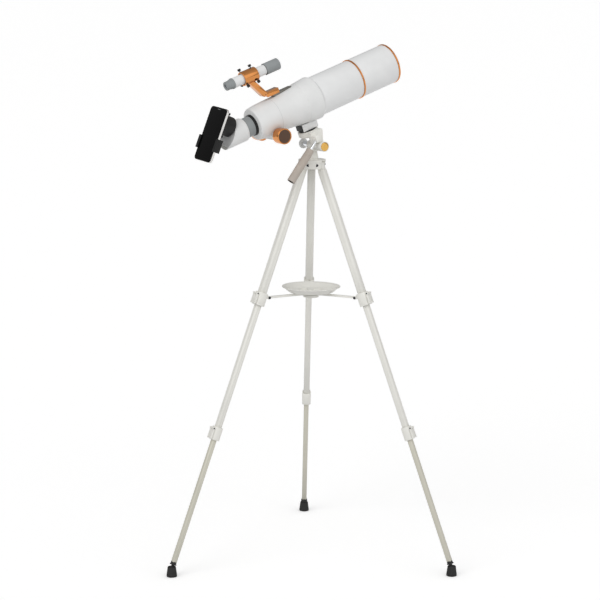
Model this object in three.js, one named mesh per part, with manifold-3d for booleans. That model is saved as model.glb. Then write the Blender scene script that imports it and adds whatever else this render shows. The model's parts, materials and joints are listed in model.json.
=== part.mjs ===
// Refracting telescope on a three-leg tripod, with a phone held at the eyepiece.
// Units are millimetres and +Z is up. The tube points along +X and the tray hangs on the pan axis.
import * as THREE from 'three';
import { mergeVertices } from 'three/addons/utils/BufferGeometryUtils.js';
import Module from 'manifold-3d';

const wasm = await Module();
wasm.setup();

// ---------- driving dimensions ----------
const GAP = 0.3;
const PAN_AXIS_X = 87;
const SPLAY = THREE.MathUtils.degToRad(21);
const LEGS = [['left', 180], ['right', -60], ['back', 60]];

const HUB = { radius: 35, top: 1039.5, bottom: 1016, pivotRadius: 24, pivotHeight: 1026, slot: 16.6 };
const NECK = { bottomRadius: 17, topRadius: 13, top: 1060 };
const STATION = { tubeTop: 15, upperClamp: 342, lowerClamp: 701, ankle: 1077, bracket: 349 };
const CLAMP_LENGTH = 34;
const LEVER_PIVOT = 3.6;
const UPPER = { outer: 20, inner: 17, end: 355 };
const MIDDLE = { outer: 16, inner: 13.8, start: 300, end: 714 };
const LOWER = { outer: 13, inner: 10.6, start: 655, end: 1060 };
const FOOT = { radius: 14.3, height: 25.5, socket: 6.8, ball: 6.3 };
const ANKLE_HEIGHT = HUB.pivotHeight - STATION.ankle * Math.cos(SPLAY);
const BRACKET_REACH = 21.5;
const ARM = { pivotRadius: 27.5, width: 8, thickness: 5 };
const SPREADER = { radius: 20, bottom: 683, top: 689, postRadius: 5, postTop: 696 };
const TRAY = { floorRadius: 54, rimRadius: 75.5, bottom: 696.3, height: 15.5, wall: 2 };

const TILT_HEIGHT = 1076;
const ELEVATION = THREE.MathUtils.degToRad(19.4);
const AXIS_ABOVE_TILT = 112.7;
const PLATFORM = { length: 54, width: 50, bottom: 29, top: 41 };
const SADDLE = { length: 46, width: 34, bottom: 44, centre: 1 };
const BOSS_RADIUS = 12.7;
const AXLE_RADIUS = 4;
const HANDLE = { x: -9, y: -48, z: 21.6, rod: 3.2, gripStart: 31, gripEnd: 128 };
const HANDLE_DROOP = THREE.MathUtils.degToRad(33.7);

const TUBE = { radius: 51, wall: 1.6, rear: 10.5, front: 167 };
const COLLAR = { front: 44, ridge: 38, rear: -2, ridgeRadius: 56.3, rearRadius: 52.6 };
const SHELL = { waist: -72, waistRadius: 45.2, rear: -146, rearRadius: 40, wall: 3 };
const COLLET = { radius: 27, rear: -153, bore: 24.6 };
const DEW = { radius: 51.6, inner: 49.8, front: 279 };
const RING = { radius: 52.8, inner: 49.7, jointLength: 3.7, frontLength: 4.7 };
const LENS = { radius: 49.3, rear: 185, edge: 7, bulge: 2.5 };
const DRAW = { radius: 24.2, wall: 1.8, front: -40, rear: -153.3, ringRadius: 25.6, ringEnd: -173.6 };
const FOCUS = { x: -105, z: -42, shaft: 3, pinion: 9, boss: 13, bossHalf: 37 };
const FOCUS_KNOB = { radius: 20, hub: 9, start: 38.5, end: 68 };
const RAIL = { rear: -70, front: -14, width: 14, top: 52.8 };

const EYE_ANGLE = THREE.MathUtils.degToRad(40);
const EYE_TURN = 14;
const PHONE_TURN = 8;
const TURN_X = -187;
const DIAGONAL = { radius: 30, front: -174, rear: -242, wall: 3, exit: 31, bore: 16.2 };
const EYEPIECE = { barrel: 15.8, body: 17, start: 22, shoulder: 31.3, end: 70.5 };
const CUP = { outer: 25, inner: 17.6, start: 34, end: 72.5 };
const PHONE = { width: 68, length: 139, depth: 7.3, corner: 9, back: 75.5, centreBelowAxis: 33 };
const JAW = { centre: -57, height: 33, wall: 4, lip: 3.4 };

const FINDER = { axis: 118, tube: 13, wall: 1.4, rear: -165, front: -70.3, ring: 18, ringBore: 15.4 };
const FINDER_RING = { rear: -138, front: -97 };
const HOOD = { radius: 15, front: -29 };
const FINDER_EYE_REAR = -188;

// ---------- materials ----------
function paint(color, roughness, metalness) {
  return new THREE.MeshStandardMaterial({ color, roughness, metalness });
}
const WHITE = paint(0xeef0f0, 0.4, 0);
const IVORY = paint(0xe9e6dc, 0.45, 0.1);
const COPPER = paint(0xc77b3b, 0.2, 1);
const GOLD = paint(0xd9a441, 0.15, 1);
const CHROME = paint(0xd8dade, 0.1, 1);
const STEEL = paint(0xa9acb0, 0.3, 1);
const TAUPE = paint(0xa3988c, 0.6, 0);
const BLACK = paint(0x141414, 0.5, 0);
const RUBBER = paint(0x1b1b1b, 0.85, 0);
const GREY = paint(0x7d8486, 0.45, 0);
const GLASS = paint(0x9fb7c4, 0.05, 0);
const SCREEN = paint(0x050506, 0.08, 0);

// ---------- solids ----------
function solid(geometry) {
  const bare = geometry.index ? geometry.toNonIndexed() : geometry.clone();
  bare.deleteAttribute('normal');
  bare.deleteAttribute('uv');
  const merged = mergeVertices(bare, 1e-4);
  const index = Array.from(merged.index.array);
  const triangles = [];
  for (let i = 0; i < index.length; i += 3) {
    const [a, b, c] = index.slice(i, i + 3);
    if (a !== b && b !== c && c !== a) {
      triangles.push(a, b, c);
    }
  }
  const vertProperties = new Float32Array(merged.attributes.position.array);
  const body = manifoldFrom(vertProperties, triangles);
  if (body.volume() > 0) {
    return body;
  }
  return manifoldFrom(vertProperties, triangles.reverse());
}

function manifoldFrom(vertProperties, triangles) {
  const triVerts = new Uint32Array(triangles);
  return new wasm.Manifold(new wasm.Mesh({ numProp: 3, vertProperties, triVerts }));
}

function join(...bodies) {
  return bodies.reduce((whole, body) => whole.add(body));
}

function cut(body, ...tools) {
  return tools.reduce((whole, tool) => whole.subtract(tool), body);
}

function geometryOf(body) {
  const mesh = body.getMesh();
  const geometry = new THREE.BufferGeometry();
  geometry.setAttribute('position', new THREE.BufferAttribute(new Float32Array(mesh.vertProperties), 3));
  geometry.setIndex(Array.from(mesh.triVerts));
  return geometry;
}

function piece(name, body, material) {
  const mesh = new THREE.Mesh(geometryOf(body), material);
  mesh.name = name;
  return mesh;
}

// A box between two corners.
function block(x0, x1, y0, y1, z0, z1) {
  const geometry = new THREE.BoxGeometry(x1 - x0, y1 - y0, z1 - z0);
  geometry.translate((x0 + x1) / 2, (y0 + y1) / 2, (z0 + z1) / 2);
  return solid(geometry);
}

// Turns a shape made about +Y so that its axis lies along X, Y or Z.
function lay(geometry, axis) {
  if (axis === 'x') {
    geometry.rotateZ(-Math.PI / 2);
  }
  if (axis === 'z') {
    geometry.rotateX(Math.PI / 2);
  }
  return geometry;
}

function rod(axis, radius, from, to, at = [0, 0, 0], sides = 12) {
  const geometry = new THREE.CylinderGeometry(radius, radius, to - from, sides);
  geometry.translate(0, (from + to) / 2, 0);
  lay(geometry, axis);
  geometry.translate(...at);
  return solid(geometry);
}

// Turned solid: profile points are [radius, distance along the axis].
function turned(axis, profile, sides = 32, at = [0, 0, 0]) {
  const points = profile.map(([radius, along]) => new THREE.Vector2(radius, along));
  const geometry = lay(new THREE.LatheGeometry(points, sides), axis);
  geometry.translate(...at);
  return solid(geometry);
}

function pipe(axis, outer, inner, from, to, sides = 32, at = [0, 0, 0]) {
  return turned(axis, [[inner, from], [outer, from], [outer, to], [inner, to], [inner, from]], sides, at);
}

function roundedRectangle(width, height, corner) {
  const x = width / 2 - corner;
  const y = height / 2 - corner;
  const shape = new THREE.Shape();
  shape.absarc(x, y, corner, 0, Math.PI / 2);
  shape.absarc(-x, y, corner, Math.PI / 2, Math.PI);
  shape.absarc(-x, -y, corner, Math.PI, 1.5 * Math.PI);
  shape.absarc(x, -y, corner, 1.5 * Math.PI, 2 * Math.PI);
  return shape;
}

function bar(shape, from, to, curveSegments = 1) {
  const geometry = new THREE.ExtrudeGeometry(shape, { depth: to - from, bevelEnabled: false, curveSegments });
  geometry.translate(0, 0, from);
  return solid(geometry);
}

function squareBar(side, from, to) {
  return bar(roundedRectangle(side, side, side * 0.28), from, to);
}

// Outline in the XZ plane, given thickness along Y.
function plateXZ(outline, y0, y1) {
  const shape = new THREE.Shape(outline.map(([x, z]) => new THREE.Vector2(x, z)));
  const geometry = new THREE.ExtrudeGeometry(shape, { depth: y1 - y0, bevelEnabled: false });
  geometry.rotateX(Math.PI / 2);
  geometry.translate(0, y1, 0);
  return solid(geometry);
}

// ---------- tripod ----------
// Each leg is drawn in its own frame: local z is minus the distance down the leg,
// local x points outwards from the tripod and local y runs across the leg.
function tripodHub() {
  const { radius, top, bottom, pivotRadius, pivotHeight, slot } = HUB;
  const crown = turned('z', [
    [0, bottom], [radius - 3, bottom], [radius - 1.5, top - 8], [radius, top - 7], [radius, top - 1],
    [radius - 1, top], [NECK.bottomRadius, top], [NECK.topRadius, NECK.top], [0, NECK.top],
  ], 28);
  let hub = crown;
  const pins = [];
  for (const [, azimuth] of LEGS) {
    const turn = THREE.MathUtils.degToRad(azimuth);
    const opening = new THREE.BoxGeometry(radius, slot, pivotHeight + 11 - bottom + 5);
    opening.translate(12 + radius / 2, 0, (pivotHeight + 11 + bottom - 5) / 2);
    opening.rotateZ(turn);
    hub = cut(hub, solid(opening));
    const pin = new THREE.CylinderGeometry(3, 3, slot + 9, 8);
    pin.translate(pivotRadius, 0, 0);
    pin.rotateZ(turn);
    pin.translate(0, 0, pivotHeight);
    pins.push(solid(pin));
  }
  return piece('tripod_hub', join(hub, ...pins), IVORY);
}

function upperLeg(side) {
  const { tubeTop } = STATION;
  const tube = squareBar(UPPER.outer, -UPPER.end, -tubeTop);
  const hollow = squareBar(UPPER.inner, -UPPER.end - 1, -tubeTop - 3);
  const knuckle = join(rod('y', 9, -7.7, 7.7), block(-8, 8, -7.7, 7.7, -tubeTop - 1, 0));
  return piece(`upper_leg_${side}`, cut(join(cut(tube, hollow), knuckle), rod('y', 3.4, -9, 9)), IVORY);
}

function middleLeg(side) {
  const tube = squareBar(MIDDLE.outer, -MIDDLE.end, -MIDDLE.start);
  const hollow = squareBar(MIDDLE.inner, -MIDDLE.end - 1, -MIDDLE.start + 1);
  return piece(`middle_leg_${side}`, cut(tube, hollow), IVORY);
}

function lowerLeg(side) {
  const { ankle } = STATION;
  const tube = squareBar(LOWER.outer, -LOWER.end, -LOWER.start);
  const hollow = squareBar(LOWER.inner, -LOWER.end + 4, -LOWER.start + 1);
  const plug = turned('z', [
    [0, -LOWER.end + 1], [7.4, -LOWER.end + 1], [7.4, -ankle + 13], [9, -ankle + 11.5], [9, -ankle + 10],
    [4, -ankle + 9.5], [4, -ankle + 4], [0, -ankle + 4],
  ], 12);
  const ball = solid(new THREE.SphereGeometry(FOOT.ball, 12, 6).rotateX(Math.PI / 2).translate(0, 0, -ankle));
  return piece(`lower_leg_${side}`, join(cut(tube, hollow), plug, ball), IVORY);
}

// Square collar with an inner lever hinge and, where needed, a fork for a spreader arm.
function clamp(name, station, side, upper, lower, bracket) {
  const half = side / 2;
  const from = -station - CLAMP_LENGTH;
  const seat = -(upper.end + 1);
  const collar = bar(roundedRectangle(side, side, side * 0.24), from, -station);
  const hinge = join(block(half - 1, half + LEVER_PIVOT, -3, 3, -station - 9, -station - 3),
    rod('y', 3, -3, 3, [half + LEVER_PIVOT, 0, -station - 6], 10));
  const pin = rod('y', 1.8, -side * 0.36, side * 0.36, [half + LEVER_PIVOT, 0, -station - 6], 8);
  let body = join(collar, hinge, pin);
  if (bracket) {
    const z = -STATION.bracket;
    for (const flank of [-1, 1]) {
      const inner = flank * (ARM.width / 2 + 0.4);
      const outer = flank * (ARM.width / 2 + 3.4);
      const ear = join(
        rod('y', 4.5, Math.min(inner, outer), Math.max(inner, outer), [-BRACKET_REACH, 0, z], 10),
        block(-BRACKET_REACH, -half + 1, Math.min(inner, outer), Math.max(inner, outer), z - 4.5, z + 4.5));
      body = join(body, ear);
    }
    body = join(body, rod('y', 2.2, -ARM.width / 2 - 4.6, ARM.width / 2 + 4.6, [-BRACKET_REACH, 0, z], 8));
  }
  const upperHole = squareBar(upper.outer + 2 * GAP, seat, -station + 1);
  const lowerHole = squareBar(lower.outer + 2 * GAP, from - 1, seat + 1);
  return piece(name, cut(body, upperHole, lowerHole), IVORY);
}

// Flip lever: a plate that lies against the outer face of its clamp.
function lever(name, station, side) {
  const face = side / 2 + GAP + 0.4;
  const width = side * 0.8;
  const pivot = [side / 2 + LEVER_PIVOT, 0, -station - 6];
  const plate = block(face, face + 4, -width / 2, width / 2, -station - CLAMP_LENGTH + 3, -station - 9.5);
  const tip = rod('y', 2.2, -width / 2, width / 2, [face + 2.8, 0, -station - CLAMP_LENGTH + 3.5], 8);
  const lobes = [-1, 1].map((flank) => {
    const y0 = flank < 0 ? -width / 2 : 3.5;
    const y1 = flank < 0 ? -3.5 : width / 2;
    return join(rod('y', 3.2, y0, y1, pivot, 10),
      block(face, face + 4, y0, y1, -station - 11, -station - 6));
  });
  return piece(name, cut(join(plate, tip, ...lobes), rod('y', 2.2, -side, side, pivot, 8)), IVORY);
}

function foot(side) {
  const { radius, height, socket } = FOOT;
  const floor = ANKLE_HEIGHT - socket - 0.4;
  const profile = [
    [0, 0], [radius, 0], [radius, 3], [radius - 1, 4.5], [11.6, height - 8], [10.6, height - 1],
    [9.8, height], [8.6, height], [socket, ANKLE_HEIGHT + 0.6], [socket, floor + 2], [socket - 2, floor],
    [0, floor],
  ];
  return piece(`foot_${side}`, turned('z', profile, 14), RUBBER);
}

// Spreader arm, drawn along local x from the leg bracket inwards.
function spreaderArm(side, length) {
  const eye = ARM.thickness / 2 + 0.9;
  const ends = [0, -length].map((x) => rod('y', eye, -ARM.width / 2, ARM.width / 2, [x, 0, 0], 10));
  const beam = block(-length, 0, -ARM.width / 2, ARM.width / 2, -ARM.thickness / 2, ARM.thickness / 2);
  const holes = [0, -length].map((x) => rod('y', 2.5, -ARM.width, ARM.width, [x, 0, 0], 8));
  return piece(`spreader_arm_${side}`, cut(join(beam, ...ends), ...holes), IVORY);
}

function spreaderHub() {
  const { radius, bottom, top, postRadius, postTop } = SPREADER;
  const profile = [[0, bottom], [radius - 1, bottom], [radius, bottom + 1], [radius, top], [postRadius, top],
    [postRadius, postTop], [0, postTop]];
  return piece('spreader_hub', turned('z', profile, 20), IVORY);
}

function tray() {
  const { floorRadius, rimRadius, bottom, height, wall } = TRAY;
  const top = bottom + height;
  const profile = [
    [0, bottom], [floorRadius, bottom], [floorRadius + 5, bottom + 2], [rimRadius - 6, top - 4],
    [rimRadius, top - wall], [rimRadius, top], [rimRadius - 7, top - 1.8], [floorRadius + 3, bottom + 3.6],
    [floorRadius - 1, bottom + wall], [0, bottom + wall],
  ];
  return piece('tray', turned('z', profile, 36), WHITE);
}

function tripodLeg(side, azimuth) {
  const upperCollar = 27;
  const lowerCollar = 23;
  const along = new THREE.Group();
  along.position.set(HUB.pivotRadius, 0, HUB.pivotHeight);
  along.rotation.y = -SPLAY;
  along.add(
    upperLeg(side),
    clamp(`upper_clamp_${side}`, STATION.upperClamp, upperCollar, UPPER, MIDDLE, true),
    lever(`upper_lever_${side}`, STATION.upperClamp, upperCollar),
    middleLeg(side),
    clamp(`lower_clamp_${side}`, STATION.lowerClamp, lowerCollar, MIDDLE, LOWER, false),
    lever(`lower_lever_${side}`, STATION.lowerClamp, lowerCollar),
    lowerLeg(side),
  );
  const bracketRadius = HUB.pivotRadius + STATION.bracket * Math.sin(SPLAY) - BRACKET_REACH * Math.cos(SPLAY);
  const bracketHeight = HUB.pivotHeight - STATION.bracket * Math.cos(SPLAY) - BRACKET_REACH * Math.sin(SPLAY);
  const arm = spreaderArm(side, bracketRadius - ARM.pivotRadius);
  arm.position.set(bracketRadius, 0, bracketHeight);
  const sole = foot(side);
  sole.position.x = HUB.pivotRadius + STATION.ankle * Math.sin(SPLAY);
  const leg = new THREE.Group();
  leg.rotation.z = THREE.MathUtils.degToRad(azimuth);
  leg.add(along, arm, sole);
  return leg;
}

// ---------- head ----------
function panBase() {
  const base = turned('z', [
    [0, NECK.top + GAP], [15, NECK.top + GAP], [15.5, NECK.top + 1], [15.5, 1065], [13, 1068], [0, 1068],
  ], 20);
  const yoke = join(rod('y', 12, -22, 8, [0, 0, TILT_HEIGHT], 16), block(-11, 11, -22, 8, 1065, TILT_HEIGHT));
  const bore = rod('y', AXLE_RADIUS + GAP, -30, 20, [0, 0, TILT_HEIGHT]);
  return piece('pan_base', cut(join(base, yoke), bore), IVORY);
}

function ovalPlate(length, width, from, to, sides = 28) {
  const geometry = new THREE.CylinderGeometry(1, 1, to - from, sides);
  geometry.rotateX(Math.PI / 2);
  geometry.scale(length / 2, width / 2, 1);
  geometry.translate(0, 0, (from + to) / 2);
  return solid(geometry);
}

// Platform, side cheek, tilt boss and handle socket in one casting, drawn about the tilt axis.
function tiltBody() {
  const { length, width, bottom, top } = PLATFORM;
  const underside = ovalPlate(length - 6, width - 6, bottom - 3, bottom + 1);
  const deck = join(ovalPlate(length, width, bottom, top), underside);
  const cheekOutline = [[-12, 0], [12, 0], [15, 12], [22, top - 4], [20, top - 1], [-14, top - 1], [-16, 24]];
  const cheek = plateXZ(cheekOutline, -36, -22.5);
  const bridge = block(-14, 20, -26, -14, bottom - 1, top - 1);
  const boss = rod('y', BOSS_RADIUS, -60, -22.5, [0, 0, 0], 20);
  const socket = block(-15, -1, -55, -34, 16, 32);
  const recess = rod('y', 11.4, -61, -58, [0, 0, 0], 20);
  const bore = rod('y', AXLE_RADIUS + GAP, -62, -10);
  const rodSeat = new THREE.CylinderGeometry(HANDLE.rod + GAP, HANDLE.rod + GAP, 40, 12);
  rodSeat.translate(0, 8, 0);
  rodSeat.rotateZ(Math.PI / 2);
  rodSeat.rotateY(-HANDLE_DROOP);
  rodSeat.translate(HANDLE.x, HANDLE.y, HANDLE.z);
  const casting = join(deck, cheek, bridge, boss, socket);
  return piece('tilt_body', cut(casting, recess, bore, solid(rodSeat)), IVORY);
}

function tiltAxle() {
  const cap = turned('y', [[0, -61.6], [8, -61.6], [11, -60.6], [11, -58.3], [0, -58.3]], 20);
  return piece('tilt_axle', join(cap, rod('y', AXLE_RADIUS, -59, 20)), GOLD);
}

function tiltLockKnob() {
  const knob = turned('y', [
    [0, 21], [4.3, 21], [4.3, 8.5], [6.3, 8.5], [6.3, 37.5], [11, 38], [12.5, 39.5], [12.5, 44], [9.6, 44.6],
    [9.6, 49], [8.6, 50], [0, 50],
  ], 18);
  return piece('tilt_lock_knob', knob, WHITE);
}

function handle() {
  const group = new THREE.Group();
  group.position.set(HANDLE.x, HANDLE.y, HANDLE.z);
  group.rotation.y = -HANDLE_DROOP;
  const shaft = rod('x', HANDLE.rod, -HANDLE.gripStart - 20, 8, [0, 0, 0], 12);
  const { gripStart, gripEnd, rod: rodRadius } = HANDLE;
  const bore = rodRadius + GAP;
  const grip = turned('x', [
    [bore, -gripStart], [8.6, -gripStart], [9.8, -gripStart - 3], [10.4, -gripStart - 20],
    [10.4, -gripEnd + 1], [10, -gripEnd], [7.6, -gripEnd], [7.6, -gripEnd + 30], [bore, -gripEnd + 32],
    [bore, -gripStart],
  ], 18);
  group.add(piece('handle_rod', shaft, CHROME), piece('handle_grip', grip, TAUPE));
  return group;
}

function platformPad() {
  const { length, width, top } = PLATFORM;
  return piece('platform_pad', ovalPlate(length - 8, width - 8, top + GAP, SADDLE.bottom - GAP), RUBBER);
}

// ---------- optical tube ----------
function domeRadius(along) {
  const { waist, waistRadius, rear, rearRadius } = SHELL;
  return rearRadius + (waistRadius - rearRadius) * Math.sqrt(1 - ((along - waist) / (rear - waist)) ** 2);
}

function shellOutline(offset = 0) {
  const points = [
    [TUBE.radius + 0.6, COLLAR.front], [COLLAR.ridgeRadius, COLLAR.ridge], [COLLAR.rearRadius, COLLAR.rear],
    [COLLAR.rearRadius - 0.9, COLLAR.rear - 0.5],
  ];
  const steps = 6;
  for (let i = 0; i <= steps; i += 1) {
    const along = SHELL.waist + (SHELL.rear - SHELL.waist) * Math.sin((i / steps) * (Math.PI / 2));
    points.push([domeRadius(along), along]);
  }
  return points.map(([radius, along]) => [radius + offset, along]);
}

function grown(offset) {
  const outline = shellOutline(offset);
  return turned('x', [[0, COLLAR.front], ...outline, [0, SHELL.rear]], 36);
}

// Rear casting: collar round the main tube, egg-shaped body, focuser collet and pinion boss.
function rearShell() {
  const { wall, rear, waist } = SHELL;
  const inside = COLLAR.rearRadius - wall - 1;
  const seat = TUBE.radius + GAP;
  const profile = [
    ...shellOutline(), [COLLET.radius, rear - 0.5], [COLLET.radius, COLLET.rear], [COLLET.bore, COLLET.rear],
    [COLLET.bore, rear + 4], [domeRadius(rear + 9) - wall, rear + 9],
    [domeRadius(rear + 30) - wall, rear + 30], [SHELL.waistRadius - wall, waist], [inside, COLLAR.rear],
    [inside, TUBE.rear - 2], [seat, TUBE.rear - 1], [seat, COLLAR.front], [TUBE.radius + 0.6, COLLAR.front],
  ];
  const casting = turned('x', profile, 36);
  const boss = rod('y', FOCUS.boss, -FOCUS.bossHalf, FOCUS.bossHalf, [FOCUS.x, 0, FOCUS.z], 16);
  const keepClear = rod('x', 40.5, SHELL.rear + 8, -50, [0, 0, 0], 24);
  const nest = rod('y', FOCUS.pinion + 1, -9, 9, [FOCUS.x, 0, FOCUS.z], 10);
  const window = block(FOCUS.x - 7, FOCUS.x + 7, -9, 9, FOCUS.z, -30);
  const bore = rod('y', FOCUS.shaft + 0.4, -60, 60, [FOCUS.x, 0, FOCUS.z], 10);
  return piece('rear_shell', cut(join(casting, cut(boss, keepClear)), nest, window, bore), WHITE);
}

function mainTube() {
  const { radius, wall, rear, front } = TUBE;
  return piece('main_tube', pipe('x', radius, radius - wall, rear, front, 36), WHITE);
}

function copperRing(name, from, length) {
  const { radius, inner } = RING;
  return piece(name, pipe('x', radius, inner, from, from + length, 36), COPPER);
}

function dewShield() {
  const from = TUBE.front + GAP + RING.jointLength + GAP;
  return piece('dew_shield', pipe('x', DEW.radius, DEW.inner, from, DEW.front, 36), WHITE);
}

function objectiveLens() {
  const { radius, rear, edge, bulge } = LENS;
  const steps = 3;
  const front = [];
  const back = [];
  for (let i = 0; i <= steps; i += 1) {
    const r = (radius * i) / steps;
    const sag = bulge * (1 - (i / steps) ** 2);
    back.push([r, rear - sag]);
    front.unshift([r, rear + edge + sag]);
  }
  return piece('objective_lens', turned('x', [...back, ...front], 28), GLASS);
}

function saddle() {
  const { length, width, bottom, centre } = SADDLE;
  const body = block(centre - length / 2, centre + length / 2, -width / 2, width / 2,
    bottom - AXIS_ABOVE_TILT, 62 - AXIS_ABOVE_TILT);
  return piece('saddle', cut(body, grown(GAP + 0.2)), WHITE);
}

function finderRail() {
  const { rear, front, width, top } = RAIL;
  const body = block(rear, front, -width / 2, width / 2, 40, top);
  return piece('finder_rail', cut(body, grown(GAP)), STEEL);
}

// ---------- focuser ----------
function drawTube() {
  const { radius, wall, front, rear } = DRAW;
  const tube = pipe('x', radius, radius - wall, rear, front, 24);
  const rack = block(FOCUS.x - 2, front - 8, -4, 4, FOCUS.z + FOCUS.pinion + 0.5, -radius + 1);
  return piece('draw_tube', join(tube, rack), BLACK);
}

function drawRing() {
  const { ringRadius, ringEnd, rear } = DRAW;
  const profile = [
    [20, ringEnd], [ringRadius - 1, ringEnd], [ringRadius, ringEnd + 1], [ringRadius, rear - GAP],
    [20, rear - GAP], [20, ringEnd],
  ];
  return piece('draw_ring', turned('x', profile, 24), GREY);
}

// One focusing knob; side is 1 for the left of the tube and -1 for the right.
function focusKnob(name, side) {
  const { radius, hub, start, end } = FOCUS_KNOB;
  const bore = FOCUS.shaft + GAP;
  const profile = [
    [bore, start], [hub, start], [hub, start + 2], [radius - 1, start + 2], [radius, start + 3],
    [radius, end - 1], [radius - 1, end], [radius - 2, end], [radius - 3, end - 1], [0, end - 1],
    [0, start + 11], [bore, start + 11], [bore, start],
  ];
  const placed = profile.map(([r, along]) => [r, side * along]);
  return piece(name, turned('y', placed, 20, [FOCUS.x, 0, FOCUS.z]), COPPER);
}

function focusWheel() {
  const { x, z, shaft, pinion } = FOCUS;
  const at = [x, 0, z];
  const reach = FOCUS_KNOB.start + 10;
  const axle = join(rod('y', shaft, -reach, reach, at, 10), rod('y', pinion, -7, 7, at, 10));
  const knobs = [focusKnob('focus_knob_left', 1), focusKnob('focus_knob_right', -1)];
  return [piece('focus_shaft', axle, STEEL), ...knobs];
}

// ---------- diagonal, eyepiece and phone ----------
// Turns a body drawn along +Z onto the slanted eyepiece axis, as the diagonal is turned in the photo.
function alongEyepiece(geometry) {
  geometry.rotateY(-(Math.PI / 2 - EYE_ANGLE));
  geometry.rotateX(THREE.MathUtils.degToRad(EYE_TURN));
  geometry.translate(TURN_X, 0, 0);
  return geometry;
}

function eyeCylinder(radius, from, to) {
  const geometry = new THREE.CylinderGeometry(radius, radius, to - from, 24).rotateX(Math.PI / 2);
  return solid(alongEyepiece(geometry.translate(0, 0, (from + to) / 2)));
}

function diagonalHousing() {
  const { radius, front, rear, wall, exit, bore } = DIAGONAL;
  const drum = turned('x', [
    [0, rear], [radius - 1.5, rear], [radius, rear + 1.5], [radius, front - 5], [radius - 2, front - 1],
    [radius - 4, front], [0, front],
  ], 30);
  const chamber = rod('x', radius - wall, rear + wall, front - wall, [0, 0, 0], 20);
  const throat = rod('x', 21, front - wall - 1, front + 1, [0, 0, 0], 20);
  const slice = solid(alongEyepiece(new THREE.BoxGeometry(140, 90, 60).translate(0, 0, exit + 30)));
  const lid = solid(alongEyepiece(new THREE.BoxGeometry(140, 90, wall).translate(0, 0, exit - wall / 2)));
  const hollow = cut(chamber, lid, slice);
  const neck = eyeCylinder(bore, exit - 15, exit + 15);
  return piece('diagonal_housing', cut(drum, slice, hollow, throat, neck), WHITE);
}

function diagonalPrism() {
  const prism = plateXZ([[-180, -21], [-180, 16], [-187, 18], [-208, -1], [-221, -18]], -16, 16);
  return piece('diagonal_prism', prism.rotate([EYE_TURN, 0, 0]), GLASS);
}

function eyepiece() {
  const { barrel, body, start, shoulder, end } = EYEPIECE;
  const profile = [[0, start], [barrel, start], [barrel, shoulder], [body, shoulder + GAP], [body, end - 2],
    [body - 2, end], [8, end], [6, end - 5], [0, end - 5]];
  const points = profile.map(([radius, along]) => new THREE.Vector2(radius, along));
  const geometry = alongEyepiece(new THREE.LatheGeometry(points, 20).rotateX(Math.PI / 2));
  return piece('eyepiece', solid(geometry), BLACK);
}

// The adapter is drawn in a frame with +Z out along the eyepiece and +X up the phone.
const JAW_LOW = JAW.centre - JAW.height / 2;
const JAW_HIGH = JAW.centre + JAW.height / 2;
const PHONE_EDGE = PHONE.width / 2;
const PHONE_FACE = PHONE.back + PHONE.depth;

// Wall and lip that hold one long edge of the phone; side is 1 or -1 across the phone.
function edgeGrip(side) {
  const outside = PHONE_EDGE + JAW.wall + GAP;
  const across = (near, far) => [Math.min(side * near, side * far), Math.max(side * near, side * far)];
  const top = PHONE_FACE + JAW.lip;
  const wall = block(JAW_LOW, JAW_HIGH, ...across(PHONE_EDGE + GAP, outside), CUP.end - 4, top);
  const lip = block(JAW_LOW, JAW_HIGH, ...across(PHONE_EDGE - 3.5, outside), PHONE_FACE + GAP, top);
  return join(wall, lip);
}

function adapterFrame() {
  const { outer, inner, start, end } = CUP;
  const floor = PHONE.back - GAP;
  const ring = pipe('z', outer, inner, start, end, 24);
  const plate = block(JAW.centre - 16, outer - 2, -15, 15, end - 1, floor);
  const hole = rod('z', 10, end - 3, PHONE.back + 1);
  const beam = block(JAW_LOW, JAW_HIGH, -16, PHONE_EDGE + JAW.wall + GAP, end - 4, floor);
  const guide = block(JAW.centre - 8.4, JAW.centre + 8.4, -17, 9, end - 2.2, PHONE.back - 1.5);
  return cut(join(ring, plate, beam, edgeGrip(1)), hole, guide);
}

function adapterJaw() {
  const tongue = block(JAW.centre - 8, JAW.centre + 8, -PHONE_EDGE - 2, 6, CUP.end - 1.9, PHONE.back - 1.8);
  const back = block(JAW_LOW, JAW_HIGH, -PHONE_EDGE - JAW.wall - GAP, 12 - PHONE_EDGE, CUP.end - 4,
    PHONE.back - GAP);
  return join(tongue, back, edgeGrip(-1));
}

function phone() {
  const shape = roundedRectangle(PHONE.length, PHONE.width, PHONE.corner);
  const slab = bar(shape, PHONE.back, PHONE.back + PHONE.depth, 4);
  return slab.translate([-PHONE.centreBelowAxis, 0, 0]);
}

function phoneAdapter() {
  const group = new THREE.Group();
  group.position.x = TURN_X;
  group.rotation.set(THREE.MathUtils.degToRad(EYE_TURN), -(Math.PI / 2 - EYE_ANGLE),
    THREE.MathUtils.degToRad(PHONE_TURN));
  group.add(piece('adapter_frame', adapterFrame(), BLACK), piece('adapter_jaw', adapterJaw(), BLACK),
    piece('phone', phone(), SCREEN));
  return group;
}

// ---------- finder ----------
function finderBracket() {
  const { axis, ring, ringBore } = FINDER;
  const { rear, front } = FINDER_RING;
  const holder = rod('x', ring, rear, front, [0, 0, axis], 24);
  const arm = plateXZ([[-126, axis - 15], [-114, axis - 8], [-86, 64], [-98, 57]], -10, 10);
  const base = block(-89, -52, -10, 10, RAIL.top + GAP, 64);
  const channel = plateXZ([[-119, axis - 23], [-111, axis - 18], [-86, 59], [-95, 54]], -7.5, 7.5);
  const cheeks = [-1, 1].map((flank) => block(-88, -52, flank < 0 ? -10 : RAIL.width / 2 + 0.4,
    flank < 0 ? -RAIL.width / 2 - 0.4 : 10, RAIL.top - 1.6, RAIL.top + 2));
  const bore = rod('x', ringBore, rear - 1, front + 1, [0, 0, axis], 20);
  return piece('finder_bracket', cut(join(holder, arm, base, ...cheeks), bore, channel), COPPER);
}

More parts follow.
